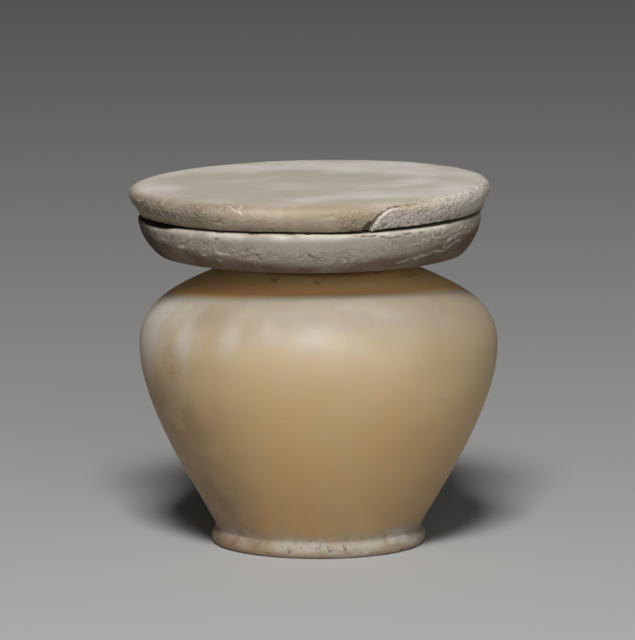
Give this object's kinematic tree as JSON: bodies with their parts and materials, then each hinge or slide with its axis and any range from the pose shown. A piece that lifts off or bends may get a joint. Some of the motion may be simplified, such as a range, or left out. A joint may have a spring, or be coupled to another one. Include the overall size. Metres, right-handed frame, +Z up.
{
  "type": "kohl jar",
  "caption": "Squat stone cosmetic jar with a narrow mouth, a flat rim collar on its shoulder and a loose disc lid; it stands on its flat foot.",
  "frame": {"origin": "centre of the foot, on the surface that the jar stands on", "axes": "+Z up along the jar's axis; -Y is the front, where the lid's broken edge shows; +X is to the right of it"},
  "size_m": [0.0432, 0.0422, 0.0428],
  "materials": {
    "jar_body": "polished, slightly translucent",
    "rim_ring": "matt, weathered",
    "lid": "matt, weathered"
  },
  "bodies": {
    "root": {"jar_body": "jar_body", "rim_ring": "rim_ring", "lid": "lid"}
  },
  "joints": []
}
